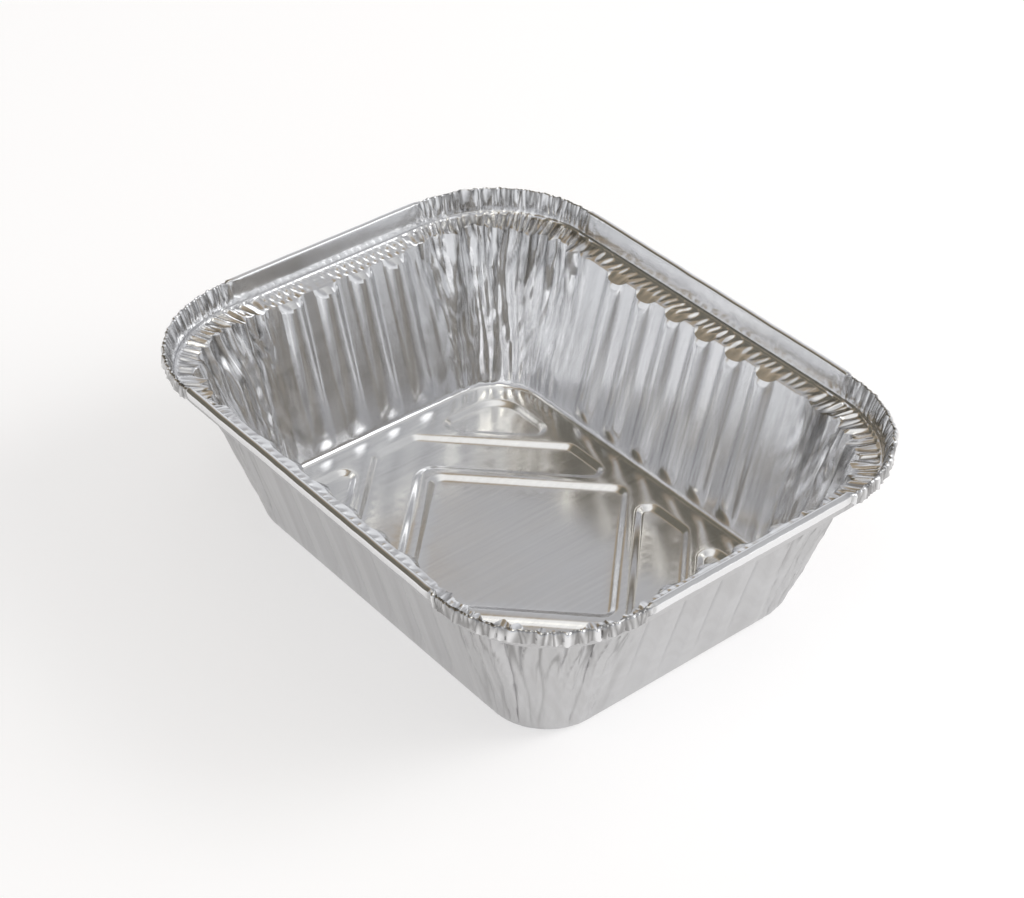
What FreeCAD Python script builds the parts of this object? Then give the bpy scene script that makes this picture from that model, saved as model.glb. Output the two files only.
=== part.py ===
# Rectangular food tray pressed from one sheet of aluminium foil.
# It stands on its base: the origin is the middle of the base's underside, +Z is up,
# X runs along the long sides and Y along the short ones. Lengths are millimetres.

import FreeCAD, Part
import math
import os
from collections import namedtuple

from FreeCAD import Vector

doc = FreeCAD.newDocument("foil_tray")

# Driving dimensions: name, value, meaning
DIMENSIONS = (
    ("foil", 0.1, "thickness of the sheet"),
    ("tray_height", 47.0, "from the table to the fold along the rim"),
    ("rim_length", 145.0, "between the folds of the short sides"),
    ("rim_width", 113.6, "between the folds of the long sides"),
    ("rim_corner", 28.0, "plan radius of the rim's corners"),
    ("flange_rise", 6.3, "upright flange above the shelf"),
    ("flange_lean", 0.9, "how far the flange leans out along the sides"),
    ("shelf_width", 5.45, "shelf between wall and flange"),
    ("shelf_slope", 0.8, "how far the shelf rises towards the flange"),
    ("brim_corner", 23.5, "plan radius where the wall meets the shelf"),
    ("foot_length", 108.8, "length over the foot of the walls"),
    ("foot_width", 79.4, "width over the foot of the walls"),
    ("foot_corner", 14.0, "plan radius at the foot of the walls"),
    ("ledge_rise", 1.0, "ledge round the base above the panels"),
    ("ledge_width", 6.0, "ledge between the walls and the base panels"),
    ("panel_slope", 1.5, "run of the sloped edge of each base panel"),
    ("panel_gap", 2.2, "flat top of the ridges between base panels"),
    ("panel_corner", 3.2, "plan radius of the panels' corners"),
    ("outer_ridge", 7.8, "where the outer ridges would cross the long axis, past the panels"),
    ("inner_ridge", 1.3, "where the inner ridges would cross the short axis, past the panels"),
    ("rib_pitch", 10.1, "from one wall rib to the next"),
    ("rib_width", 5.0, "width of a wall rib"),
    ("rib_depth", 1.8, "how far a rib stands into the tray under the shelf"),
    ("rib_foot", 1.0, "how far a rib stands into the tray at the foot"),
    ("rib_lobe", 1.3, "how far a rib's end stands into the tray at the shelf"),
    ("rib_dome", 2.0, "height of a rib's rounded upper end"),
    ("long_ribs", 6, "ribs on each long wall"),
    ("short_ribs", 4, "ribs on each short wall"),
    ("corner_pleats", 14, "pleats round each corner"),
    ("wall_pleat", 0.55, "depth of the corner pleats at the top of the wall"),
    ("waist_share", 0.5, "height of the wall where the pleats start to deepen"),
    ("waist_pleat", 0.1375, "depth of the corner pleats at that height"),
    ("shelf_ripple", 0.2, "height of the corner shelf's radial ripples at the wall"),
    ("ridge_ripple", 0.1, "height of those ripples at the flange"),
    ("rim_pleat", 0.35, "depth of the corner pleats along the flange"),
    ("rim_wave", 0.35, "height of the waves in the flange's corner edge"),
    ("corner_flare", 1.0, "how far the corner flange stands out past the side folds"),
    ("lip_out", 0.8, "how far the turned-down corner lip stands out"),
    ("lip_drop", 3.4, "height of the turned-down corner lip"),
    ("hem_out", 1.7, "how far the rolled hem stands out from its fold"),
    ("hem_crown", 0.425, "how far below the fold the hem is at its widest"),
    ("hem_drop", 2.6, "height of the rolled hem"),
    ("hem_tuck", 0.34, "how far the foot of the hem lies inside its widest line"),
    ("hem_return", 1.0, "how far the hem's raw edge turns back in from its foot"),
    ("hem_lift", 0.25, "how far the hem's raw edge turns back up"),
    ("hem_end", 1.0, "from the end of the hem to the start of the corner"),
)
sizes = doc.addObject("Spreadsheet::Sheet", "Sizes")
for row, (alias, value, meaning) in enumerate(DIMENSIONS, start=1):
    sizes.set(f"A{row}", meaning)
    sizes.set(f"B{row}", str(value))
    sizes.setAlias(f"B{row}", alias)
doc.recompute()

UP = Vector(0, 0, 1)
SIDES = 4
ARC_STEPS = 4           # straight pieces in a rounded panel corner
PLEAT_MEAN = 0.75       # depth of a corner pleat, as a share of the deepest
PLEAT_SPREAD = 0.25     # how far the pleats differ from that, either way
PLEAT_BEAT = 2.4        # turn of the wave that sets them apart, from fold to fold
RIB_PLACES = (-1.0, -0.5, 0.0, 0.5, 1.0)
FLAT = 1e-7             # four points this close to one plane make one facet

# One closed line round the tray, and one place on it. A level has its overall length
# and width, its corner radius and height, and how deep the ribs stand in, how deep
# the corner pleats are and how high their ripples. A station is on a side, at a place
# along it or counted from its end, or in the corner after it, turned by an angle.
Level = namedtuple("Level", "length width corner height rib pleat ripple")
Station = namedtuple("Station", "side place end rib turn fold")


def stations():
    """Every station round the tray, side by side, each side followed by its corner."""
    found = []
    for side in range(SIDES):
        count = int(sizes.short_ribs if side % 2 else sizes.long_ribs)
        found.append(Station(side, 0, -1, 0, None, 0))
        for index in range(count):
            middle = (index - (count - 1) / 2) * sizes.rib_pitch
            for share in RIB_PLACES:
                place = middle + share * sizes.rib_width / 2
                depth = math.sqrt(1 - share * share)
                found.append(Station(side, place, 0, depth, None, 0))
        found.append(Station(side, 0, 1, 0, None, 0))
        found += corner_stations(side)
    return found


def corner_stations(side):
    """Stations on the folds of one corner, unevenly deep as crushed foil is."""
    steps = 2 * int(sizes.corner_pleats)
    found = []
    for step in range(steps + 1):
        turn = math.pi / 2 * step / steps
        inner = 0 < step < steps
        depth = PLEAT_MEAN + PLEAT_SPREAD * math.cos(PLEAT_BEAT * step + side)
        fold = (-1) ** step * depth if inner else 0
        found.append(Station(side, 0, 0, 0, turn, fold))
    return found


def outward(station):
    """The level direction that points out of the tray at a station, and the one along its side."""
    angle = math.pi / 2 * (station.side - 1)
    normal = Vector(round(math.cos(angle)), round(math.sin(angle)), 0)
    along = UP.cross(normal)
    if station.turn is None:
        return normal, normal, along
    return normal * math.cos(station.turn) + along * math.sin(station.turn), normal, along


def level_point(level, station):
    """The point of a level at a station."""
    direction, normal, along = outward(station)
    halves = (level.length / 2, level.width / 2)
    reach = halves[station.side % 2]
    out = halves[1 - station.side % 2]
    straight = reach - level.corner
    if station.turn is None:
        place = station.end * (straight - sizes.hem_end) if station.end else station.place
        point = along * place + normal * (out - station.rib * level.rib)
    else:
        centre = along * straight + normal * (out - level.corner)
        point = centre + direction * (level.corner + station.fold * level.pleat)
    return point + UP * (level.height + station.fold * level.ripple)


def between(low, high, share, **changed):
    """A level at a share of the way up from one level to another."""
    mixed = [a + (b - a) * share for a, b in zip(low, high)]
    return Level(*mixed)._replace(**changed)


def grown(level, out, drop, pleat, ripple):
    """A level that stands further out and lower than another."""
    return Level(level.length + 2 * out, level.width + 2 * out, level.corner + out,
                 level.height - drop, 0, pleat, ripple)


def levels():
    """The levels of the upper skin, from the foot of the walls to the raw edge of the rim.

    They come as two lists, for the sides and for the corners, which share the walls
    and the shelf and differ in the flange's edge."""
    s = sizes
    shelf = s.tray_height - s.flange_rise
    foot = Level(s.foot_length, s.foot_width, s.foot_corner, s.ledge_rise + s.foil,
                 s.rib_foot, 0, 0)
    ridge = Level(s.rim_length - 2 * s.flange_lean, s.rim_width - 2 * s.flange_lean,
                  s.rim_corner - s.flange_lean, shelf, 0, 0, s.ridge_ripple)
    brim = Level(ridge.length - 2 * s.shelf_width, ridge.width - 2 * s.shelf_width,
                 s.brim_corner, shelf - s.shelf_slope, s.rib_lobe, s.wall_pleat,
                 s.shelf_ripple)
    neck_share = 1 - s.rib_dome / (brim.height - foot.height)
    neck = between(foot, brim, neck_share, rib=s.rib_depth, ripple=0)
    waist = between(foot, neck, s.waist_share, pleat=s.waist_pleat)
    walls = [foot, waist, neck, brim, ridge]

    fold = Level(s.rim_length, s.rim_width, s.rim_corner, s.tray_height, 0, 0, 0)
    tucked = s.hem_out - s.hem_tuck
    hem_side = grown(fold, s.hem_out, s.hem_crown, 0, 0)
    hem_foot = grown(fold, tucked, s.hem_drop, 0, 0)
    hem_edge = grown(fold, tucked - s.hem_return, s.hem_drop - s.hem_lift, 0, 0)

    crest = grown(fold, s.corner_flare, s.rim_wave, s.rim_pleat, s.rim_wave)
    lip_top = grown(crest, s.lip_out, s.lip_out, s.rim_pleat, s.rim_wave)
    lip_middle = grown(lip_top, 0, s.lip_drop / 2, s.rim_pleat, 0)
    lip_edge = grown(lip_top, 0, s.lip_drop - s.lip_out, s.rim_pleat, -s.rim_wave)
    sides = walls + [fold, hem_side, hem_foot, hem_edge]
    corners = walls + [crest, lip_top, lip_middle, lip_edge]
    return sides, corners


def under(profile, direction):
    """The lower skin's points below one station's upper ones, one foil thickness away.

    Each point moves along the mitre of the two stretches of sheet that meet in it.
    The first point is the edge of the level ledge, and the last is the raw edge."""
    moved = []
    runs = [Vector(1, 0, 0)]
    for low, high in zip(profile, profile[1:]):
        step = high - low
        runs.append(Vector(step.dot(direction), step.z, 0).normalize())
    runs.append(runs[-1])
    for point, before, after in zip(profile, runs, runs[1:]):
        first = Vector(before.y, -before.x, 0)
        second = Vector(after.y, -after.x, 0)
        mitre = (first + second) / (1 + first.dot(second)) * sizes.foil
        moved.append(point + direction * mitre.x + UP * mitre.y)
    return moved


def facets(a, b, c, d):
    """The sheet between four points: one flat facet, or two where they are not level."""
    bend = (b - a).cross(c - a).dot(d - a)
    if abs(bend) < FLAT:
        return [polygon([a, b, c, d])]
    return [polygon([a, b, c]), polygon([a, c, d])]


def polygon(points):
    """A flat face inside a line of points."""
    return Part.Face(Part.makePolygon(points + points[:1]))


def skin(profiles):
    """The facets between neighbouring stations, from level to level."""
    faces = []
    for left, right in zip(profiles, profiles[1:] + profiles[:1]):
        for index in range(len(left) - 1):
            faces += facets(left[index], right[index], right[index + 1], left[index + 1])
    return faces


def rounded(corners):
    """A closed line through some corners, given as (x, y, radius), each rounded off."""
    line = []
    count = len(corners)
    for index, (x, y, radius) in enumerate(corners):
        here = Vector(x, y, 0)
        before = (Vector(*corners[index - 1][:2], 0) - here).normalize()
        after = (Vector(*corners[(index + 1) % count][:2], 0) - here).normalize()
        half = before.getAngle(after) / 2
        centre = here + (before + after).normalize() * (radius / math.sin(half))
        start = here + before * (radius / math.tan(half)) - centre
        end = here + after * (radius / math.tan(half)) - centre
        sweep = math.atan2(start.cross(end).z, start.dot(end))
        for step in range(ARC_STEPS + 1):
            turn = FreeCAD.Rotation(UP, math.degrees(sweep * step / ARC_STEPS))
            line.append(centre + turn.multVec(start))
    return line


def inset(line, distance):
    """A closed anticlockwise line moved inwards, edge by edge."""
    moved = []
    for index, here in enumerate(line):
        before = (here - line[index - 1]).normalize()
        after = (line[(index + 1) % len(line)] - here).normalize()
        first = UP.cross(before)
        second = UP.cross(after)
        moved.append(here + (first + second) / (1 + first.dot(second)) * distance)
    return moved


def panel_outlines():
    """The upper outlines of the seven sunk panels of the base.

    Slanting ridges part four corner panels, two chevrons and a square on its corner."""
    s = sizes
    reach = s.foot_length / 2 - s.ledge_width
    out = s.foot_width / 2 - s.ledge_width
    gap = s.panel_gap / math.sqrt(2)
    tight = s.panel_corner
    wide = s.foot_corner - s.ledge_width
    outer_crossing = reach + s.outer_ridge
    inner_crossing = out + s.inner_ridge

    outer = outer_crossing + gap
    corner = [(reach, outer - reach, tight), (reach, out, wide), (outer - out, out, tight)]
    middle = inner_crossing - gap
    square = [(middle, 0, tight), (0, middle, tight), (-middle, 0, tight), (0, -middle, tight)]
    inner = outer_crossing - gap
    turn = inner_crossing + gap
    half = [(reach, inner - reach, tight), (inner - out, out, tight), (turn - out, out, tight)]
    chevron = half + [(turn, 0, tight)] + [(x, -y, r) for x, y, r in reversed(half)]

    outlines = [rounded(square), rounded(chevron)]
    outlines.append([Vector(-p.x, -p.y, 0) for p in outlines[1]])
    for x_sign in (1, -1):
        for y_sign in (1, -1):
            mirrored = [Vector(p.x * x_sign, p.y * y_sign, 0) for p in rounded(corner)]
            outlines.append(mirrored if x_sign * y_sign > 0 else mirrored[::-1])
    return outlines


def base_faces(edge, floor):
    """One skin of the base: the ledge and ridges inside an edge, with the sunk panels."""
    level = UP * edge[0].z
    rims = [[point + level for point in line] for line in panel_outlines()]
    wires = [Part.makePolygon(line + line[:1]) for line in [edge] + rims]
    faces = [Part.makeFace(wires, "Part::FaceMakerBullseye")]
    drop = UP * (edge[0].z - floor)
    for rim in rims:
        bottom = [point - drop for point in inset(rim, sizes.panel_slope)]
        faces.append(polygon(bottom))
        faces += skin(list(zip(rim, bottom)))
    return faces


def tray_shape():
    """The whole sheet as one closed solid."""
    sides, corners = levels()
    upper = []
    lower = []
    for station in stations():
        course = sides if station.turn is None else corners
        profile = [level_point(level, station) for level in course]
        upper.append(profile)
        lower.append(under(profile, outward(station)[0]))
    raw_edge = [(top[-1], bottom[-1]) for top, bottom in zip(upper, lower)]
    faces = skin(upper) + skin(lower) + skin(raw_edge)
    faces += base_faces([profile[0] for profile in upper], sizes.foil)
    faces += base_faces([profile[0] for profile in lower], 0)
    solid = Part.Solid(Part.Shell(faces))
    if solid.Volume < 0:
        solid.reverse()
    return solid


tray = doc.addObject("Part::Feature", "Tray")
tray.Label = "tray"
tray.Shape = tray_shape()
tray.Placement = FreeCAD.Placement()
doc.recompute()

parts = [tray]
for item in doc.Objects:
    if "Invalid" in item.State or "Error" in item.State:
        raise RuntimeError(f"{item.Label} failed to build: {item.State}")
for item in parts:
    if item.Shape.isNull() or not item.Shape.isValid():
        raise RuntimeError(f"{item.Label} has no valid shape")

os.makedirs("parts", exist_ok=True)
for item in parts:
    item.Shape.exportStep(os.path.join("parts", item.Label + ".step"))
    box = item.Shape.BoundBox
    print(f"{item.Label}: {box.XLength:.2f} x {box.YLength:.2f} x {box.ZLength:.2f} mm,"
          f" {item.Shape.Volume:.0f} mm3, {len(item.Shape.Faces)} faces")
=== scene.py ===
import math

import bpy
import numpy as np
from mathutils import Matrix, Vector
from mathutils.geometry import delaunay_2d_cdt


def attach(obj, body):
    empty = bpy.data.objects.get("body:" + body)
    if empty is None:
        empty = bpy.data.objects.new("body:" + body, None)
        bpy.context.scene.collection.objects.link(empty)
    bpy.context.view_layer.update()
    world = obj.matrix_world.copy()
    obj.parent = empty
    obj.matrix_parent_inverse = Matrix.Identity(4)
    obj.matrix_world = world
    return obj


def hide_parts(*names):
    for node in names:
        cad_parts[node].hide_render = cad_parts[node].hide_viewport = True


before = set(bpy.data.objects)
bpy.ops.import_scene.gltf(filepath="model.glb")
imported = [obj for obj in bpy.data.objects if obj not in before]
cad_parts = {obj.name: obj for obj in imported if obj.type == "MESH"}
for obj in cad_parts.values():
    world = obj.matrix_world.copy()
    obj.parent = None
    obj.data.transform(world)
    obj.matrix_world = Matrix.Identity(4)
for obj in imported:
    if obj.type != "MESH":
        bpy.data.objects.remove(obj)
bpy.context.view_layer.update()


# The pan

# Base and walls of the tray, up to the edge of the shelf. They are pressed from one sheet
# of bright rolled foil: panels sink into the base, ribs stiffen the walls, and the sheet
# gathers in long creases at the corners, where it has too much width for the form.

MM = 0.001
FOIL = 0.1 * MM

# Closed lines round the tray: half length, half width, corner radius and height.
LEDGE = np.array([51.6, 36.9, 11.2, 1.1]) * MM
FOOT = np.array([54.4, 39.7, 14.0, 1.1]) * MM
BRIM = np.array([66.15, 50.45, 23.5, 39.9]) * MM
WALL_RISE = BRIM[3] - FOOT[3]
FOOT_ROUNDING = 1.7 * MM
# rows of the sheet across the ledge, round the foot and up the wall
WALL_STEPS = [2, 6, 34]
# how far beside a corner its creases begin
GATHER_LEAD = 11 * MM

RIB_PITCH = 10.1 * MM
LONG_RIBS, SHORT_RIBS = 6, 4
# columns of the sheet from one rib to the next, beside the last rib, and in a corner
RIB_COLUMNS = 16
LONG_END_COLUMNS, SHORT_END_COLUMNS = 18, 10
CORNER_COLUMNS = 92
# how far the ribs lap over the shelf: front, right, back and left side
LAP_SHARES = np.array([0.35, 0.2, 1.0, 0.2])


def round_the_tray(finer):
    """Places round the tray, side by side, each side followed by its corner.

    Gives the side's number, the place along it, how far that place moves with the side's
    end, and the turn in the corner. A finer row has that many places for each one."""
    rows = []
    for side in range(4):
        short = side % 2
        ribs = (SHORT_RIBS if short else LONG_RIBS) * RIB_PITCH / 2
        end = (BRIM[1] if short else BRIM[0]) - BRIM[2]
        tails = (SHORT_END_COLUMNS if short else LONG_END_COLUMNS) * finer
        middle = round(2 * ribs / RIB_PITCH) * RIB_COLUMNS * finer
        places = np.concatenate([np.linspace(-end, -ribs, tails, endpoint=False),
                                 np.linspace(-ribs, ribs, middle, endpoint=False),
                                 np.linspace(ribs, end, tails, endpoint=False)])
        ease = np.clip((np.abs(places) - ribs) / (end - ribs), 0, 1)
        ease = ease * ease * (3 - 2 * ease) * np.sign(places)
        for place, share in zip(places, ease):
            rows.append((side, place, share, -1))
        for turn in np.linspace(0, math.pi / 2, CORNER_COLUMNS * finer, endpoint=False):
            rows.append((side, end, 1, turn))
    return np.array(rows)


def lay_sheet(columns, levels):
    """The smooth sheet: a point for each column and level, and its outward direction."""
    side, place, share, turn = columns.T
    angle = (side - 1) * math.pi / 2
    normal = np.stack([np.cos(angle), np.sin(angle)], 1).round(9)
    along = np.stack([-normal[:, 1], normal[:, 0]], 1)
    cornered = turn >= 0
    bend = np.where(cornered, turn, 0)[:, None]
    outward = normal * np.cos(bend) + along * np.sin(bend)
    short = (side % 2 == 1)[:, None]
    half_long, half_wide, radius, height = np.moveaxis(levels, -1, 0)
    reach = np.where(short, half_wide, half_long)
    out = np.where(short, half_long, half_wide)
    straight = reach - radius
    kept = np.where(short, BRIM[1], BRIM[0]) - BRIM[2]
    run = np.where(cornered[:, None], straight, place[:, None] + share[:, None] * (straight - kept))
    flat = (along[:, None] * run[..., None] + normal[:, None] * (out - radius)[..., None]
            + outward[:, None] * np.broadcast_to(radius, run.shape)[..., None])
    points = np.concatenate([flat, np.broadcast_to(height, run.shape)[..., None]], -1)
    return points, np.concatenate([outward, np.zeros((len(side), 1))], 1)


def corner_share(columns, lead):
    """0 along the sides, 1 in the corners, and a smooth rise over the last stretch between."""
    side, place, _, turn = columns.T
    end = np.where(side % 2 == 1, BRIM[1], BRIM[0]) - BRIM[2]
    rise = np.clip((np.abs(place) - end + lead) / lead, 0, 1)
    return np.where(turn >= 0, 1.0, rise * rise * (3 - 2 * rise))


def bent_line(levels, roundings, counts):
    """A line through levels, rounded off at the inner ones, as rows of the sheet."""
    rows = [levels[0]]
    start = levels[0]
    for index in range(1, len(levels)):
        here = levels[index]
        back = start - here
        stop = here
        if index < len(levels) - 1:
            ahead = levels[index + 1] - here
            stop = here + back / np.linalg.norm(back) * roundings[index - 1]
        steps = counts[2 * index - 2]
        rows += [start + (stop - start) * step / steps for step in range(1, steps + 1)]
        start = stop
        if index < len(levels) - 1:
            leave = here + ahead / np.linalg.norm(ahead) * roundings[index - 1]
            turns = counts[2 * index - 1]
            for step in range(1, turns + 1):
                u = step / turns
                rows.append(stop * (1 - u) ** 2 + here * 2 * u * (1 - u) + leave * u * u)
            start = leave
    return np.array(rows)


# The base has seven panels that sink between ridges. The slanting ridges run at 45
# degrees, and each is given by where its middle line meets the X axis.
PANEL_DROP = 0.95 * MM
PANEL_SLOPE = 1.5 * MM
PANEL_INSET = 6.0 * MM
PANEL_REACH = FOOT[0] - PANEL_INSET
PANEL_OUT = FOOT[1] - PANEL_INSET
RIDGE_HALF = 2.2 * MM / math.sqrt(2)
OUTER_RIDGE = PANEL_REACH + 7.8 * MM
INNER_RIDGE = PANEL_OUT + 1.3 * MM
PANEL_CORNER = 3.2 * MM
WIDE_PANEL_CORNER = 8 * MM
ARC_STEPS = 6
LINE_STEP = 1.1 * MM
# how far inside a panel's outline its rings of points lie
PANEL_RINGS = np.array([-0.45, -0.15, 0.12, 0.4, 0.75, 1.1, 1.38, 1.65, 1.95]) * MM
# free points of the flat parts, in millimetres, and how far they keep from all lines
GRID_REACH, GRID_OUT, GRID_STEP = 50, 35, 2.3
GRID_CLEAR = 0.9 * MM


def even_steps(start, stop):
    """Points between two others, about one step apart, without the ends."""
    gap = stop - start
    steps = max(1, round(np.linalg.norm(gap) / LINE_STEP))
    return [start + gap / steps * (step + 1) for step in range(steps - 1)]


def rounded_line(corners):
    """A closed line through rounded corners, each given as x, y and radius."""
    line = []
    count = len(corners)
    for index, (x, y, radius) in enumerate(corners):
        here = np.array([x, y])
        before = np.array(corners[index - 1][:2]) - here
        after = np.array(corners[(index + 1) % count][:2]) - here
        before, after = before / np.linalg.norm(before), after / np.linalg.norm(after)
        half = math.acos(before @ after) / 2
        middle = before + after
        centre = here + middle / np.linalg.norm(middle) * radius / math.sin(half)
        first = here + before * radius / math.tan(half) - centre
        last = here + after * radius / math.tan(half) - centre
        sweep = math.atan2(first[0] * last[1] - first[1] * last[0], first @ last)
        if line:
            line += even_steps(line[-1], centre + first)
        for step in range(ARC_STEPS + 1):
            turn = sweep * step / ARC_STEPS
            spun = [first[0] * math.cos(turn) - first[1] * math.sin(turn),
                    first[0] * math.sin(turn) + first[1] * math.cos(turn)]
            line.append(centre + np.array(spun))
    return np.array(line + even_steps(line[-1], line[0]))


def panel_lines():
    """The upper outlines of the base panels, anticlockwise."""
    outer = OUTER_RIDGE + RIDGE_HALF
    inner = OUTER_RIDGE - RIDGE_HALF
    middle = INNER_RIDGE - RIDGE_HALF
    turn = INNER_RIDGE + RIDGE_HALF
    corner = [(PANEL_REACH, outer - PANEL_REACH, PANEL_CORNER),
              (PANEL_REACH, PANEL_OUT, WIDE_PANEL_CORNER),
              (outer - PANEL_OUT, PANEL_OUT, PANEL_CORNER)]
    square = [(middle, 0, PANEL_CORNER), (0, middle, PANEL_CORNER),
              (-middle, 0, PANEL_CORNER), (0, -middle, PANEL_CORNER)]
    half = [(PANEL_REACH, inner - PANEL_REACH, PANEL_CORNER),
            (inner - PANEL_OUT, PANEL_OUT, PANEL_CORNER),
            (turn - PANEL_OUT, PANEL_OUT, PANEL_CORNER)]
    chevron = half + [(turn, 0, PANEL_CORNER)] + [(x, -y, r) for x, y, r in reversed(half)]
    lines = [rounded_line(square), rounded_line(chevron)]
    lines.append(-lines[1])
    line = rounded_line(corner)
    lines += [line, -line, (line * [-1, 1])[::-1], (line * [1, -1])[::-1]]
    return lines


def moved_in(line, distance):
    """A closed anticlockwise line moved inwards, edge by edge."""
    before = line - np.roll(line, 1, 0)
    after = np.roll(line, -1, 0) - line
    first = np.stack([-before[:, 1], before[:, 0]], 1) / np.linalg.norm(before, axis=1)[:, None]
    second = np.stack([-after[:, 1], after[:, 0]], 1) / np.linalg.norm(after, axis=1)[:, None]
    share = 1 + (first * second).sum(1)[:, None]
    return line + (first + second) / share * distance


def depth_inside(points, line):
    """How far points lie inside a closed line, and below zero outside it."""
    a, b = line, np.roll(line, -1, 0)
    edge = b - a
    offset = points[:, None] - a[None]
    share = np.clip((offset * edge).sum(-1) / (edge * edge).sum(-1), 0, 1)
    distance = np.linalg.norm(offset - share[..., None] * edge, axis=-1).min(1)
    crosses = (a[:, 1] > points[:, None, 1]) != (b[:, 1] > points[:, None, 1])
    rise = np.where(edge[:, 1] == 0, 1, edge[:, 1])
    side = offset[..., 0] < (points[:, None, 1] - a[:, 1]) / rise * edge[:, 0]
    inside = (crosses & side).sum(1) % 2 == 1
    return np.where(inside, distance, -distance)


def base_points(border):
    """Points and triangles of the base inside its border, with the sunk panels."""
    lines = panel_lines()
    rings = [moved_in(line, step) for line in lines for step in PANEL_RINGS]
    loops = [border[:, :2]] + rings
    marked = np.concatenate(loops)
    edges = []
    start = 0
    for loop in loops:
        count = len(loop)
        edges += [(start + k, start + (k + 1) % count) for k in range(count)]
        start += count
    grid = np.meshgrid(np.arange(-GRID_REACH, GRID_REACH + 0.1, GRID_STEP),
                       np.arange(-GRID_OUT, GRID_OUT + 0.1, GRID_STEP))
    grid = np.stack(grid, -1).reshape(-1, 2) * MM
    near = np.linalg.norm(grid[:, None] - marked[None, ::2], axis=-1).min(1)
    inside = depth_inside(grid, border[:, :2])
    grid = grid[(near > GRID_CLEAR) & (inside > GRID_CLEAR)]
    flat = [Vector(p) for p in np.concatenate([marked, grid])]
    found, _, faces, *_ = delaunay_2d_cdt(flat, edges, [], 0, 1e-9)
    flat = np.array([tuple(p) for p in found])
    sunk = np.max([depth_inside(flat, line) for line in lines], axis=0)
    # the sheet bends softly into and out of each slope, over this share of it
    soft = 0.12
    share = np.clip(sunk / PANEL_SLOPE, -1, 2)
    drop = soft * (np.logaddexp(0, share / soft) - np.logaddexp(0, (share - 1) / soft))
    height = LEDGE[3] - PANEL_DROP * np.clip(drop, 0, 1)
    height[:len(border)] = border[:, 2]
    return np.column_stack([flat, height]), faces


class Flow:
    """An output of a node, so that an expression on it adds the Math nodes it needs."""

    def __init__(self, tree, socket):
        self.tree, self.socket = tree, socket

    def other(self, name):
        """Another output of the same node."""
        return Flow(self.tree, self.socket.node.outputs[name])

    def joined(self, operation, *values):
        """A Math or Vector Math node on some values or links."""
        vectors = [v for v in values if isinstance(v, Vector)
                   or isinstance(v, Flow) and v.socket.type == "VECTOR"]
        if not vectors:
            return add_node(self.tree, "ShaderNodeMath", {"operation": operation},
                            dict(enumerate(values)))
        if operation == "MULTIPLY" and len(vectors) == 1:
            vector = vectors[0]
            scale = values[1] if values[0] is vector else values[0]
            return add_node(self.tree, "ShaderNodeVectorMath", {"operation": "SCALE"},
                            {0: vector, "Scale": scale})
        return add_node(self.tree, "ShaderNodeVectorMath", {"operation": operation},
                        dict(enumerate(values)))

    def __add__(self, value):
        return self.joined("ADD", self, value)

    def __radd__(self, value):
        return self.joined("ADD", value, self)

    def __sub__(self, value):
        return self.joined("SUBTRACT", self, value)

    def __rsub__(self, value):
        return self.joined("SUBTRACT", value, self)

    def __mul__(self, value):
        return self.joined("MULTIPLY", self, value)

    def __rmul__(self, value):
        return self.joined("MULTIPLY", value, self)

    def __truediv__(self, value):
        return self.joined("DIVIDE", self, value)

    def __rtruediv__(self, value):
        return self.joined("DIVIDE", value, self)

    def __pow__(self, value):
        return self.joined("POWER", self, value)

    def __neg__(self):
        return self.joined("MULTIPLY", self, -1.0)

    def __abs__(self):
        return self.joined("ABSOLUTE", self)

    def sine(self):
        return self.joined("SINE", self)

    def whole(self):
        return self.joined("ROUND", self)

    def at_least(self, value):
        return self.joined("MAXIMUM", self, value)

    def at_most(self, value):
        return self.joined("MINIMUM", self, value)

    def rising(self, low, high):
        """0 below one value, 1 above another, and a smooth rise between."""
        return add_node(self.tree, "ShaderNodeMapRange", {"interpolation_type": "SMOOTHSTEP"},
                        {"Value": self, "From Min": low, "From Max": high})


def add_node(tree, kind, settings=None, sockets=None):
    """Adds a node: its settings come first, then the values or links of its sockets."""
    node = tree.nodes.new(kind)
    for name, value in (settings or {}).items():
        if name == "stops":
            ramp = node.color_ramp
            while len(ramp.elements) < len(value):
                ramp.elements.new(0.5)
            for stop, (place, colour) in zip(ramp.elements, value):
                stop.position = place
                stop.color = (*colour, 1)
        else:
            setattr(node, name, value)
    usable = [socket for socket in node.inputs if socket.enabled]
    for name, value in (sockets or {}).items():
        named = [socket for socket in usable if socket.name == name]
        socket = named[0] if named else usable[name]
        if isinstance(value, Flow):
            tree.links.new(value.socket, socket)
        else:
            socket.default_value = value
    outputs = [socket for socket in node.outputs if socket.enabled]
    return Flow(tree, outputs[0]) if outputs else None


def noise(tree, place, seed, detail=0.0):
    """Smooth noise about one half, with one wave for each unit of length."""
    return add_node(tree, "ShaderNodeTexNoise", {"noise_dimensions": "4D"},
                    {"Vector": place, "W": seed, "Scale": 1.0, "Detail": detail})


def creases(tree, place, seed):
    """Noise with sharp valleys where the sheet is creased, from 0 to about 1."""
    return abs(noise(tree, place, seed) - 0.5) * 4.0


def sharpest(folds, width):
    """1 in the bottom of each crease, 0 a little beside it."""
    return 1.0 - folds.rising(0.0, width)


def stretched(tree, place, cell):
    """A place measured in cells of the given size."""
    return add_node(tree, "ShaderNodeVectorMath", {"operation": "DIVIDE"}, {0: place, 1: cell})


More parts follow.
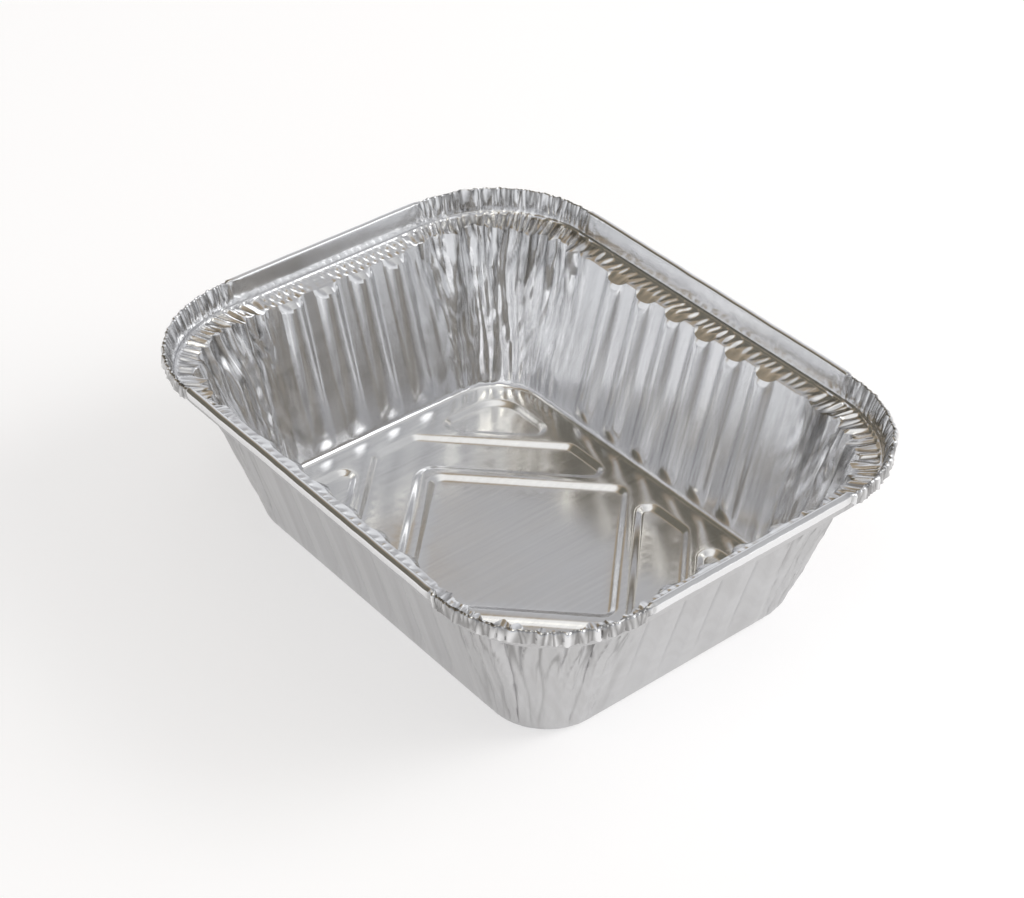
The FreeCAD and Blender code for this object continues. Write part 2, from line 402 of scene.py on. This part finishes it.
def start_tree(name, sizes):
    """A node tree for a piece, with a named input for each size, and its first nodes."""
    tree = bpy.data.node_groups.new(name, "GeometryNodeTree")
    tree.interface.new_socket("Geometry", in_out="OUTPUT", socket_type="NodeSocketGeometry")
    tree.interface.new_socket("Geometry", in_out="INPUT", socket_type="NodeSocketGeometry")
    tree.interface.new_socket("Finish", in_out="INPUT", socket_type="NodeSocketMaterial")
    for size in sizes:
        tree.interface.new_socket(size, in_out="INPUT", socket_type="NodeSocketFloat")
    source = tree.nodes.new("NodeGroupInput")
    return tree, {socket.name: Flow(tree, socket) for socket in source.outputs if socket.name}


def read(tree, name, kind="FLOAT"):
    """A value that the blank sheet carries at each point."""
    return add_node(tree, "GeometryNodeInputNamedAttribute", {"data_type": kind}, {"Name": name})


def move(tree, shape, offset):
    """The shape with each point moved."""
    return add_node(tree, "GeometryNodeSetPosition", {}, {"Geometry": shape, "Offset": offset})


def end_tree(tree, shape, lines, finish):
    """The last nodes: a real mesh with its finish, and the lines of its creases, where the finish
    paints shade.
    """
    # the lines are stored as the mask of the finish's painted shade
    shape = add_node(tree, "GeometryNodeStoreNamedAttribute", {"data_type": "FLOAT"},
                     {"Geometry": shape, "Name": "crease", "Value": lines})
    real = add_node(tree, "GeometryNodeRealizeInstances", {}, {"Geometry": shape})
    dressed = add_node(tree, "GeometryNodeSetMaterial", {}, {"Geometry": real, "Material": finish})
    add_node(tree, "NodeGroupOutput", {}, {"Geometry": dressed})


# what a blank sheet carries for its tree, and the angle past which a fold stays sharp
CARRIED = ("place", "short", "lap", "climb", "gather", "outward", "course", "on_wall",
           "cornered", "shelf", "stand", "turned")
SHARP_FOLD = math.radians(42)


def press(piece, tree, finish, back, sizes):
    """Forms a piece by its tree and sizes, gives it the foil's thickness and its duller
    back, and keeps the mesh."""
    front_faces = len(piece.data.polygons)
    forming = piece.modifiers.new("forming", "NODES")
    forming.node_group = tree
    for item in tree.interface.items_tree:
        if item.in_out == "INPUT" and item.name in sizes:
            forming[item.identifier] = sizes[item.name]
        if item.in_out == "INPUT" and item.name == "Finish":
            forming[item.identifier] = finish
    thickness = piece.modifiers.new("thickness", "SOLIDIFY")
    thickness.thickness = FOIL
    thickness.offset = -1
    bpy.context.view_layer.update()
    evaluated = piece.evaluated_get(bpy.context.evaluated_depsgraph_get())
    formed = bpy.data.meshes.new_from_object(evaluated)
    piece.modifiers.clear()
    piece.data = formed
    formed.materials.append(back)
    sides = np.zeros(len(formed.polygons), np.int32)
    sides[front_faces:2 * front_faces] = 1
    formed.polygons.foreach_set("material_index", sides)
    for name in [a.name for a in formed.attributes if a.name in CARRIED]:
        formed.attributes.remove(formed.attributes[name])
    formed.shade_smooth()
    formed.set_sharp_from_angle(angle=SHARP_FOLD)


def carry(mesh, name, values):
    """Stores a value, or a direction, at each point of a blank sheet."""
    values = np.asarray(values, np.float32)
    if values.ndim == 1:
        mesh.attributes.new(name, "FLOAT", "POINT").data.foreach_set("value", values)
    else:
        mesh.attributes.new(name, "FLOAT_VECTOR", "POINT").data.foreach_set("vector", values.ravel())


def blank_mesh(name, points, faces):
    """An object in the scene, from points and faces."""
    mesh = bpy.data.meshes.new(name)
    mesh.from_pydata([tuple(p) for p in points], [], faces)
    piece = bpy.data.objects.new(name, mesh)
    bpy.context.scene.collection.objects.link(piece)
    return piece


def strip_faces(index):
    """Quads between neighbouring columns of a closed sheet, whose points are numbered by
    column and row."""
    after = np.roll(index, -1, 0)
    quads = np.stack([index[:, :-1], index[:, 1:], after[:, 1:], after[:, :-1]], -1)
    return quads.reshape(-1, 4).tolist()


def way_up(levels):
    """How far up the sheet each row lies, from the first one."""
    steps = np.linalg.norm(np.diff(levels[:, [0, 3]], axis=0), axis=1)
    return np.concatenate([[0], np.cumsum(steps)])


def course_line(columns, levels, start):
    """Where creases are counted: the brim's own line, and the way up the sheet as height."""
    line, _ = lay_sheet(columns, BRIM[None])
    course = np.repeat(line, len(levels), 1)
    course[..., 2] = start + way_up(levels)
    return course


def side_line(columns):
    """For ribs: the place along the side, far away in the corners."""
    return np.where(columns[:, 3] >= 0, 1.0, columns[:, 1])


def lap_share(columns):
    """How far the ribs of a column's side lap over the shelf."""
    return LAP_SHARES[columns[:, 0].astype(int)]


columns = round_the_tray(1)
wall_levels = bent_line([LEDGE, FOOT, BRIM], [FOOT_ROUNDING], WALL_STEPS)
way_to_brim = way_up(wall_levels)[-1]
wall, outward = lay_sheet(columns, wall_levels)
base, base_faces = base_points(wall[:, 0])
points = np.concatenate([base, wall[:, 1:].reshape(-1, 3)])
wall_points = len(points) - len(base)
border = np.arange(len(columns))[:, None]
above = len(base) + np.arange(wall_points).reshape(len(columns), -1)
pan = blank_mesh("foil_pan", points, base_faces + strip_faces(np.hstack([border, above])))


def spread(values, rest):
    """Values given for each column, laid over the wall's points, and one for the base's."""
    on_base = np.broadcast_to(rest, (len(base), *values.shape[1:]))
    return np.concatenate([on_base, np.repeat(values, wall_points // len(columns), 0)])


wall_course = course_line(columns, wall_levels, 0)[:, 1:]
carry(pan.data, "place", spread(side_line(columns), 1.0))
carry(pan.data, "short", spread(columns[:, 0] % 2, 0.0))
carry(pan.data, "lap", spread(lap_share(columns), 0.0))
carry(pan.data, "climb", (points[:, 2] - FOOT[3]) / WALL_RISE)
carry(pan.data, "gather", spread(corner_share(columns, GATHER_LEAD), 0.0))
carry(pan.data, "outward", spread(outward, 0.0))
carry(pan.data, "course", np.concatenate([base * [1, 1, 0], wall_course.reshape(-1, 3)]))
carry(pan.data, "on_wall", spread(np.ones(len(columns)), 0.0))

RIB_FULLNESS = 0.85


def rib_shape(tree, given):
    """How far a rib stands in across the side, as a share of its depth, and its lap."""
    place, short = read(tree, "place"), read(tree, "short")
    ribs = given["Long ribs"] + (given["Short ribs"] - given["Long ribs"]) * short
    step = place / given["Rib pitch"] + (ribs - 1.0) / 2.0
    nearest = step.whole().at_least(0.0).at_most(ribs - 1.0)
    share = (step - nearest) * given["Rib pitch"] / (given["Rib width"] / 2.0)
    across = (1.0 - share * share).at_least(0.0) ** RIB_FULLNESS
    return across, given["Rib lobe"] * read(tree, "lap")


# Cells of the corners' creases: twice across the sheet, then along it. The mean is that of
# creases(), so folds stand in about as far as out.
SWAY_CELL = (14 * MM, 14 * MM, 22 * MM)
SWAY = 4 * MM
WIDE_CELL = (5.6 * MM, 5.6 * MM, 110 * MM)
NARROW_CELL = (2.4 * MM, 2.4 * MM, 26 * MM)
CREASE_MEAN = 0.45


def gathered(tree, given, climb):
    """How far the corners' creases stand out, and their lines, where shade is painted: wide creases
    run from foot to shelf, and narrow ones fade out on the way down."""
    course = read(tree, "course", "FLOAT_VECTOR")
    sway = noise(tree, stretched(tree, course, SWAY_CELL), given["Seed"] + 3.0) - 0.5
    leaning = course + sway * Vector((SWAY, SWAY, 0.0))
    wide = creases(tree, stretched(tree, leaning, WIDE_CELL), given["Seed"])
    narrow = creases(tree, stretched(tree, leaning, NARROW_CELL), given["Seed"] + 1.0)
    high = climb.rising(0.35, 1.0)
    low = climb.rising(-0.02, 0.12)
    depth = ((wide - CREASE_MEAN) * (0.5 + 0.5 * high)
             - (narrow - CREASE_MEAN) * (0.15 + 0.45 * high))
    # lines for painted shade, stronger high up the wall
    lines = (sharpest(wide, 0.14) * (0.3 + 0.7 * high)).at_least(sharpest(narrow, 0.2) * high)
    return depth * low * given["Gather depth"], lines * low


def slanted(tree, course, lean, across, along):
    """Cells for creases that slant towards the corners as they climb. The outward direction
    is added so that each side has creases of its own."""
    height = add_node(tree, "ShaderNodeSeparateXYZ", {}, {0: course}).other("Z")
    over = abs(read(tree, "place")) - height * lean
    cells = add_node(tree, "ShaderNodeCombineXYZ", {}, {0: over / across, 1: height / along})
    return cells + read(tree, "outward", "FLOAT_VECTOR") * 7.0


# On the short walls the ribs start shallower at the foot and round off sooner at the top.
SHORT_FOOT_LOSS = 0.55
SHORT_DOME_LOSS = 0.5
FAINT_CELL = (9 * MM, 9 * MM, 14 * MM)
SLANT_SHARE = 2.4


def pan_tree():
    """Forms the pan: ribs in its walls, creases in its corners, and soft dents."""
    tree, given = start_tree("press_pan", [
        "Rib pitch", "Rib width", "Rib depth", "Rib foot", "Rib lobe", "Rib dome", "Lobe sag",
        "Long ribs", "Short ribs", "Wall rise", "Gather depth", "Dent depth", "Seed"])
    outward = read(tree, "outward", "FLOAT_VECTOR")
    course = read(tree, "course", "FLOAT_VECTOR")
    climb, gather = read(tree, "climb"), read(tree, "gather")
    short, on_wall = read(tree, "short"), read(tree, "on_wall")

    # ribs grow from the foot up, end in a dome and lap a little over the shelf's edge
    across, lobe = rib_shape(tree, given)
    start = given["Rib foot"] * (1.0 - short * SHORT_FOOT_LOSS)
    full = start + (given["Rib depth"] - start) * climb
    dome = given["Rib dome"] * (1.0 - short * SHORT_DOME_LOSS)
    below = ((1.0 - climb) * given["Wall rise"] / dome).at_most(1.0)
    rounded = (1.0 - (1.0 - below) * (1.0 - below)).at_least(0.0) ** 0.5
    rib = across * (lobe + (full - lobe) * rounded) * climb.rising(0.015, 0.13)
    sag = across.rising(0.0, 0.7) * lobe * given["Lobe sag"] * climb.rising(0.92, 1.0)
    shape = move(tree, given["Geometry"], outward * -rib + sag * Vector((0, 0, -1)))

    pleats, lines = gathered(tree, given, climb)
    shape = move(tree, shape, outward * (pleats * gather))

    # slanting dents beside the corners, and faint ones all over
    normal = add_node(tree, "GeometryNodeInputNormal")
    slant = creases(tree, slanted(tree, course, lean=0.8, across=5.5 * MM, along=30 * MM),
                    given["Seed"] + 5.0) - CREASE_MEAN
    faint = noise(tree, stretched(tree, course, FAINT_CELL), given["Seed"] + 7.0) - 0.5
    calm = climb.rising(0.0, 0.15) * (1.0 - climb.rising(0.9, 1.0))
    dents = slant * (gather * calm) * SLANT_SHARE + faint * (1.0 - on_wall + on_wall * calm)
    shape = move(tree, shape, normal * (dents * given["Dent depth"]))
    # the corners' crease lines go on as painted shade in the finish
    end_tree(tree, shape, lines * gather, given["Finish"])
    return tree


# Cells of the foil's finish, along X, Y and Z. The rolling lines run along Y.
ROLLING_CELL = (0.9 * MM, 30 * MM, 50 * MM)
BROAD_CELL = (6 * MM, 50 * MM, 50 * MM)
CLOUD_CELL = (20 * MM, 20 * MM, 20 * MM)
GRAIN_CELL = (1.1 * MM, 1.1 * MM, 1.1 * MM)
UNEVENNESS = 0.10
# colour and strength of the shade painted into the lines of the creases
CREASE_SHADE_COLOUR = (0.16, 0.155, 0.15)
CREASE_SHADE_STRENGTH = 0.85
BUMP_HEIGHT = 0.04 * MM


def new_finish(name):
    """An empty material and its tree."""
    finish = bpy.data.materials.new(name)
    finish.use_nodes = True
    finish.node_tree.nodes.clear()
    return finish, finish.node_tree


def mixed(tree, factor, first, second):
    """A colour between two, each a link or a plain colour."""
    first, second = [c if isinstance(c, Flow) else (*c, 1) for c in (first, second)]
    return add_node(tree, "ShaderNodeMix", {"data_type": "RGBA"},
                    {"Factor": factor, "A": first, "B": second})


def foil_finish(name, dark, light, roughness):
    """Rolled foil: it has rolling lines, is dulled unevenly, and has shade painted dark into its
    colour along the lines of its creases."""
    finish, tree = new_finish(name)
    place = add_node(tree, "ShaderNodeTexCoord").other("Object")
    lines = noise(tree, stretched(tree, place, ROLLING_CELL), 2.0, detail=3.0)
    broad = noise(tree, stretched(tree, place, BROAD_CELL), 4.0, detail=2.0)
    cloud = noise(tree, stretched(tree, place, CLOUD_CELL), 6.0, detail=3.0)
    grain = noise(tree, stretched(tree, place, GRAIN_CELL), 8.0, detail=2.0)
    dull = (lines - 0.5) * UNEVENNESS + (broad - 0.5) * UNEVENNESS + (cloud - 0.5) * UNEVENNESS
    pale = (0.5 + (lines - 0.5) * 1.2 + (cloud - 0.5) * 0.8).at_least(0.0).at_most(1.0)
    # painted shade: the colour darkens towards a dark grey along the crease lines that the forming
    # trees store
    creased = add_node(tree, "ShaderNodeAttribute", {"attribute_name": "crease"}).other("Fac")
    colour = mixed(tree, creased * CREASE_SHADE_STRENGTH, mixed(tree, pale, dark, light), CREASE_SHADE_COLOUR)
    bump = add_node(tree, "ShaderNodeBump", {}, {
        "Strength": 0.5, "Distance": BUMP_HEIGHT, "Height": lines * 0.6 + broad + grain * 0.5})
    skin = add_node(tree, "ShaderNodeBsdfPrincipled", {}, {
        "Base Color": colour, "Metallic": 1.0, "Roughness": roughness + dull, "Normal": bump})
    add_node(tree, "ShaderNodeOutputMaterial", {}, {"Surface": skin})
    return finish


bright_side = foil_finish("foil_bright_side", (0.76, 0.76, 0.765), (0.88, 0.885, 0.895),
                          roughness=0.18)
matt_side = foil_finish("foil_matt_side", (0.50, 0.495, 0.495), (0.62, 0.62, 0.625),
                        roughness=0.36)
PRESSED = {
    "Rib pitch": RIB_PITCH, "Rib width": 6.4 * MM, "Rib depth": 2.0 * MM,
    "Rib foot": 1.1 * MM, "Rib lobe": 1.7 * MM, "Rib dome": 2.4 * MM, "Lobe sag": 0.42,
    "Long ribs": LONG_RIBS, "Short ribs": SHORT_RIBS, "Wall rise": WALL_RISE,
    "Gather depth": 2.2 * MM, "Dent depth": 0.12 * MM, "Seed": 11.0,
}
press(pan, pan_tree(), bright_side, matt_side, PRESSED)
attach(pan, "root")
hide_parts("tray")


# The rim

# The same sheet goes on over the edge of the pan: a shelf that a card lid lies on, a thin
# bead, and an upright flange. Along the sides its edge is rolled into a hem. Round the
# corners it is crimped in fine pleats and turned down in a lip with a raw edge.

RIDGE = np.array([71.6, 55.9, 27.1, 40.7]) * MM
FOLD = np.array([72.5, 56.8, 28.0, 47.0]) * MM

# Rows of the sheet, in millimetres outwards and up. The shelf starts at the brim and ends in
# the bead. The flange has a share of its height, and its bow. Hem and lip start at the fold.
SHELF_LINE = [(0, 0), (0.35, 0.0), (0.8, -0.02), (1.3, -0.05), (1.8, -0.06), (2.3, -0.06),
              (2.8, -0.05), (3.3, -0.04), (3.8, -0.02), (4.3, 0.0),
              (4.62, 0.05), (4.85, 0.32), (5.15, 0.32), (5.38, 0.04)]
FLANGE_LINE = [(0.05, 0.0), (0.18, -0.10), (0.34, -0.16), (0.52, -0.18), (0.70, -0.14),
               (0.85, -0.06), (0.95, 0.0)]
HEM_LINE = [(0.0, -0.24), (0.3, -0.04), (1.0, -0.06), (1.55, -0.42), (1.70, -1.1),
            (1.58, -1.9), (1.25, -2.5), (0.75, -2.6), (0.4, -2.3)]
LIP_LINE = [(0.75, -0.65), (1.0, -0.5), (1.3, -0.65), (1.5, -1.0), (1.55, -1.5),
            (1.55, -2.0), (1.53, -2.5), (1.53, -3.05), (1.6, -3.55)]
# how far beside a corner the hem turns into the lip, and the pleats begin
LIP_LEAD = 1.6 * MM
PLEAT_LEAD = 3 * MM
SHELF_ROWS, FLANGE_ROWS, EDGE_ROWS = len(SHELF_LINE), len(FLANGE_LINE), len(LIP_LINE)


def beyond(level, out, lift):
    """A level moved outwards and up, in millimetres."""
    return level + np.array([out, out, out, lift]) * MM


def flange_rows(crest):
    """Rows of the flange from the bead up to its crest."""
    return [beyond(RIDGE + (crest - RIDGE) * share, bow, 0) for share, bow in FLANGE_LINE]


def rim_levels():
    """The rows of the rim along the sides and at the corners, in the same order."""
    width = (RIDGE[0] - BRIM[0]) / MM
    shelf = [beyond(BRIM + (RIDGE - BRIM) * out / width, 0, lift) for out, lift in SHELF_LINE]
    hem = [beyond(FOLD, *place) for place in HEM_LINE]
    lip = [beyond(FOLD, *place) for place in LIP_LINE]
    return np.array(shelf + flange_rows(FOLD) + hem), np.array(shelf + flange_rows(lip[0]) + lip)


rim_columns = round_the_tray(2)
side_rows, corner_rows = rim_levels()
on_sides, rim_outward = lay_sheet(rim_columns, side_rows)
in_corners, _ = lay_sheet(rim_columns, corner_rows)
turning = corner_share(rim_columns, LIP_LEAD)[:, None, None]
rim_points = on_sides * (1 - turning) + in_corners * turning
rim = blank_mesh("foil_rim", rim_points.reshape(-1, 3),
                 strip_faces(np.arange(rim_points[..., 0].size).reshape(len(rim_columns), -1)))


def by_row(*shares):
    """Values given for each row, laid over the rim's points."""
    return np.tile(np.concatenate(shares), len(rim_columns))


def by_column(values):
    """Values given for each column, laid over the rim's points."""
    return np.repeat(values, len(side_rows), 0)


carry(rim.data, "place", by_column(side_line(rim_columns)))
carry(rim.data, "short", by_column(rim_columns[:, 0] % 2))
carry(rim.data, "lap", by_column(lap_share(rim_columns)))
carry(rim.data, "climb", np.ones(len(rim.data.vertices)))
carry(rim.data, "gather", by_column(corner_share(rim_columns, GATHER_LEAD)))
carry(rim.data, "cornered", by_column(corner_share(rim_columns, PLEAT_LEAD)))
carry(rim.data, "outward", by_column(rim_outward))
carry(rim.data, "course", course_line(rim_columns, side_rows, way_to_brim).reshape(-1, 3))
carry(rim.data, "shelf", by_row(np.linspace(0, 1, SHELF_ROWS),
                                np.full(FLANGE_ROWS + EDGE_ROWS, 2.0)))
carry(rim.data, "stand", by_row(np.zeros(SHELF_ROWS), np.linspace(0.1, 1, FLANGE_ROWS),
                                np.ones(EDGE_ROWS)))
carry(rim.data, "turned", by_row(np.zeros(SHELF_ROWS + FLANGE_ROWS),
                                 np.linspace(0.02, 1, EDGE_ROWS)))

# Cells of the rim's crinkles, pleats and waves: twice across the sheet, then along it.
DRIFT_CELL = (6 * MM, 6 * MM, 6 * MM)
PATCH_CELL = (13 * MM, 13 * MM, 13 * MM)
RAY_CELL = (1.4 * MM, 1.4 * MM, 12 * MM)
BROAD_RAY_CELL = (2.6 * MM, 2.6 * MM, 20 * MM)
FOLD_CELL = (1.8 * MM, 1.8 * MM, 20 * MM)
FINE_CELL = (1.1 * MM, 1.1 * MM, 9 * MM)
WAVE_CELL = (2.8 * MM, 2.8 * MM, 1.0)
RAG_CELL = (1.6 * MM, 1.6 * MM, 1.0)
BOW_CELL = (8 * MM, 8 * MM, 20 * MM)
KNURL_CELL = (1.4 * MM, 1.4 * MM, 1.4 * MM)


def rim_tree():
    """Forms the rim: a crinkled shelf, a pleated flange and lip, an uneven edge, and lines of
    painted shade in its creases.
    """
    tree, given = start_tree("crimp_rim", [
        "Rib pitch", "Rib width", "Rib lobe", "Lobe sag", "Long ribs", "Short ribs",
        "Gather depth", "Rope pitch", "Rope depth", "Dimple pitch", "Dimple depth",
        "Pleat depth", "Fan depth", "Wave height", "Rag height", "Bow depth", "Knurl depth",
        "Seed"])
    seed = given["Seed"]
    outward = read(tree, "outward", "FLOAT_VECTOR")
    course = read(tree, "course", "FLOAT_VECTOR")
    place, short = read(tree, "place"), read(tree, "short")
    gather, cornered = read(tree, "gather"), read(tree, "cornered")
    shelf, stand, turned = read(tree, "shelf"), read(tree, "stand"), read(tree, "turned")
    straight = 1.0 - cornered
    up = Vector((0, 0, 1))

    # the shelf's inner edge follows the tops of the ribs and of the corner creases
    across, lobe = rib_shape(tree, given)
    brim = 1.0 - shelf.rising(0.0, 0.3)
    pleats, lines = gathered(tree, given, read(tree, "climb"))
    # the corners' crease lines, kept for painted shade at the shelf's inner edge
    lines = lines * gather * brim
    sag = across.rising(0.0, 0.7) * lobe * brim * given["Lobe sag"]
    shape = move(tree, given["Geometry"],
                 outward * (pleats * gather * brim - across * lobe * brim) - sag * up)

    # crinkles like the lay of a rope along the long sides, dimples along the short ones,
    # and rays round the corners
    normal = add_node(tree, "GeometryNodeInputNormal")
    on_shelf = shelf.rising(0.02, 0.16) * (1.0 - shelf.rising(0.72, 0.86))
    roped = shelf.rising(0.12, 0.3) * (1.0 - shelf.rising(0.6, 0.76))
    drift = noise(tree, stretched(tree, course, DRIFT_CELL), seed + 20.0) - 0.5
    phase = place / given["Rope pitch"] + shelf * 0.9 + drift * 1.6
    rope = (phase * math.tau).sine() + (phase * (2.0 * math.tau) + 1.0).sine() * 0.3
    patchy = noise(tree, stretched(tree, course, PATCH_CELL), seed + 22.0)
    strength = (0.45 + patchy.rising(0.35, 0.6) * 0.55) * (1.0 - gather) * (1.0 - short * 0.75)
    dots = (place / given["Dimple pitch"] * math.tau).sine() * (shelf * (1.5 * math.tau)).sine()
    dimples = dots.rising(0.1, 0.9) * patchy.rising(0.35, 0.55) * short * (1.0 - gather)
    rays = creases(tree, stretched(tree, course, RAY_CELL), seed + 24.0)
    broad_rays = creases(tree, stretched(tree, course, BROAD_RAY_CELL), seed + 26.0)
    # painted shade in the valleys of the rays round the corners
    lines = lines.at_least(sharpest(rays, 0.3) * gather * on_shelf * 0.8)
    crimp = (rope * strength * roped * given["Rope depth"] - dimples * given["Dimple depth"]
             + (rays - broad_rays) * gather * given["Pleat depth"])
    shape = move(tree, shape, normal * (crimp * on_shelf))

    # pleats up the flange and down the lip, and a fan of them beside each corner
    fold = creases(tree, stretched(tree, course, FOLD_CELL), seed + 30.0)
    fine = creases(tree, stretched(tree, course, FINE_CELL), seed + 32.0)
    ruffle = ((fold - 0.75) * 0.45 + (fine - 0.6)) * given["Pleat depth"] * cornered
    ruffle = ruffle * stand.rising(0.0, 0.5) * 1.3
    # painted shade in the pleats of the flange, and more of it down the lip
    pleat_shade_lines = sharpest(fold, 0.4).at_least(sharpest(fine, 0.5) * 0.9)
    lines = lines.at_least(pleat_shade_lines * cornered * stand.rising(0.1, 0.6))
    lines = lines.at_least(sharpest(fine, 0.95) * 0.8 * cornered * turned.rising(0.1, 0.4))
    fan = creases(tree, slanted(tree, course, lean=1.0, across=1.9 * MM, along=30 * MM),
                  seed + 33.0) - CREASE_MEAN
    fan = fan * gather * straight * stand.rising(0.0, 0.3) * (1.0 - turned.rising(0.0, 0.1))

    # an uneven crest and raw edge
    wave = noise(tree, stretched(tree, course, WAVE_CELL), seed + 34.0, detail=1.0) - 0.5
    rag = noise(tree, stretched(tree, course, RAG_CELL), seed + 36.0, detail=2.0) - 0.5
    lift = (wave * 2.0 * given["Wave height"] * stand * stand * cornered
            + rag * 2.0 * given["Rag height"] * turned * cornered)
    shape = move(tree, shape, outward * (ruffle + fan * given["Fan depth"]) + lift * up)

    # faint waves in the straight flange and in the hem
    bow = noise(tree, stretched(tree, course, BOW_CELL), seed + 40.0, detail=1.0) - 0.5
    knurl = noise(tree, stretched(tree, course, KNURL_CELL), seed + 42.0) - 0.5
    shape = move(tree, shape, outward * (bow * stand * straight * given["Bow depth"]
                                         + knurl * turned * straight * given["Knurl depth"]))
    end_tree(tree, shape, lines, given["Finish"])
    return tree


press(rim, rim_tree(), bright_side, matt_side, {
    **PRESSED, "Rope pitch": 2.5 * MM, "Rope depth": 0.2 * MM, "Dimple pitch": 2.1 * MM,
    "Dimple depth": 0.2 * MM, "Pleat depth": 0.45 * MM, "Fan depth": 0.3 * MM,
    "Wave height": 0.18 * MM, "Rag height": 0.4 * MM, "Bow depth": 0.4 * MM,
    "Knurl depth": 0.2 * MM})
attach(rim, "root")
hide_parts("tray")


# The table, the light and the camera

# A plain white table under a wide soft lamp, in a pale room. The table renders white where
# the tray throws no shadow on it. The foil mirrors the table and the room, which is why the
# room has bright patches overhead and at the right, and a dark, warm part at the far left.

TABLE_HALF = 6.0
GLOW_STRENGTH = 1.04
GLOW_SHARE = 0.56


def table_finish():
    """White and matt. Where a camera, the foil or glass sees it, it also glows a little, so
    that it is white there and still keeps the tray's shadow."""
    finish, tree = new_finish("white_table")
    ray = add_node(tree, "ShaderNodeLightPath")
    seen = (ray.other("Is Camera Ray") + ray.other("Is Glossy Ray")
            + ray.other("Is Transmission Ray")).at_most(1.0)
    matt = add_node(tree, "ShaderNodeBsdfDiffuse", {},
                    {"Color": mixed(tree, seen, (0.78, 0.78, 0.78), (1.0, 0.99, 0.99))})
    glow = add_node(tree, "ShaderNodeEmission", {},
                    {"Color": (1, 0.995, 0.995, 1), "Strength": GLOW_STRENGTH})
    blend = add_node(tree, "ShaderNodeMixShader", {}, {0: seen * GLOW_SHARE, 1: matt, 2: glow})
    add_node(tree, "ShaderNodeOutputMaterial", {}, {"Surface": blend})
    return finish


table = blank_mesh("table", [(-TABLE_HALF, -TABLE_HALF, 0), (TABLE_HALF, -TABLE_HALF, 0),
                             (TABLE_HALF, TABLE_HALF, 0), (-TABLE_HALF, TABLE_HALF, 0)],
                   [(0, 1, 2, 3)])
table.data.materials.append(table_finish())

# The room's colour from the horizon, 0, to straight overhead, 1.
ROOM_COLOURS = [
    (0.0, (0.84, 0.85, 0.87)), (0.30, (0.77, 0.78, 0.80)), (0.46, (0.70, 0.705, 0.73)),
    (0.56, (0.46, 0.46, 0.475)), (0.80, (0.45, 0.45, 0.46)), (0.92, (0.62, 0.62, 0.62)),
    (1.0, (0.95, 0.94, 0.92))]


def nearness(tree, toward, middle):
    """How near each direction lies to the middle of a patch: 1 where they are the same."""
    return add_node(tree, "ShaderNodeVectorMath", {"operation": "DOT_PRODUCT"},
                    {0: toward, 1: Vector(middle)}).other("Value")


def room_light():
    """A room that is pale low down, grey above and bright overhead, with its patches."""
    world = bpy.data.worlds.new("pale_room")
    bpy.context.scene.world = world
    world.use_nodes = True
    tree = world.node_tree
    tree.nodes.clear()
    toward = add_node(tree, "ShaderNodeTexCoord").other("Generated")
    height = add_node(tree, "ShaderNodeSeparateXYZ", {}, {0: toward}).other("Z")
    lit = add_node(tree, "ShaderNodeValToRGB", {"stops": ROOM_COLOURS}, {0: height})
    overhead = nearness(tree, toward, (0.24, -0.32, 0.916)).rising(0.986, 0.995)
    lit = mixed(tree, overhead, lit, (2.6, 2.5, 2.2))
    right = nearness(tree, toward, (0.62, 0.58, 0.528)).rising(0.91, 0.985)
    lit = mixed(tree, right, lit, (2.1, 2.1, 2.1))
    left = nearness(tree, toward, (-0.72, -0.25, 0.647))
    warm = mixed(tree, left.rising(0.80, 0.96), (0.38, 0.31, 0.225), (0.15, 0.14, 0.115))
    colour = mixed(tree, left.rising(0.742, 0.785), lit, warm)
    sky = add_node(tree, "ShaderNodeBackground", {}, {"Color": colour, "Strength": 1.1})
    add_node(tree, "ShaderNodeOutputWorld", {}, {"Surface": sky})


def lamp(name, place, aim, width, depth, power, colour):
    """A soft rectangular lamp. The foil doesn't mirror it, because the room's bright patch at
    the right stands for it there with a softer edge."""
    light = bpy.data.lights.new(name, "AREA")
    light.shape = "RECTANGLE"
    light.size = width
    light.size_y = depth
    light.energy = power
    light.color = colour
    holder = bpy.data.objects.new(name, light)
    holder.location = place
    holder.rotation_euler = (Vector(aim) - Vector(place)).to_track_quat("-Z", "Y").to_euler()
    holder.visible_glossy = False
    bpy.context.scene.collection.objects.link(holder)


room_light()
lamp("soft_box", place=(0.64, 0.94, 0.70), aim=(0, 0, 0.02), width=0.7, depth=0.7, power=10.4,
     colour=(1.0, 0.99, 0.98))

# The camera stands where the photograph was taken from. Its focal length is in pixels of an
# image of that width.
IMAGE_WIDTH = 1024
FOCAL_PIXELS = 2370.43
SENSOR_WIDTH = 36
CAMERA_TARGET = Vector((-8.18, 4.45, 21.1)) * MM
CAMERA_BACK = Vector((0.6163, -0.5016, 0.6071))
CAMERA_DISTANCE = 539.04 * MM
view = bpy.data.cameras.new("view")
view.sensor_fit = "HORIZONTAL"
view.sensor_width = SENSOR_WIDTH
view.lens = SENSOR_WIDTH * FOCAL_PIXELS / IMAGE_WIDTH
view.clip_start = 0.01
camera = bpy.data.objects.new("view", view)
camera.location = CAMERA_TARGET + CAMERA_BACK.normalized() * CAMERA_DISTANCE
camera.rotation_euler = CAMERA_BACK.to_track_quat("Z", "Y").to_euler()
bpy.context.scene.collection.objects.link(camera)
bpy.context.scene.camera = camera
bpy.context.scene.view_settings.view_transform = "Standard"
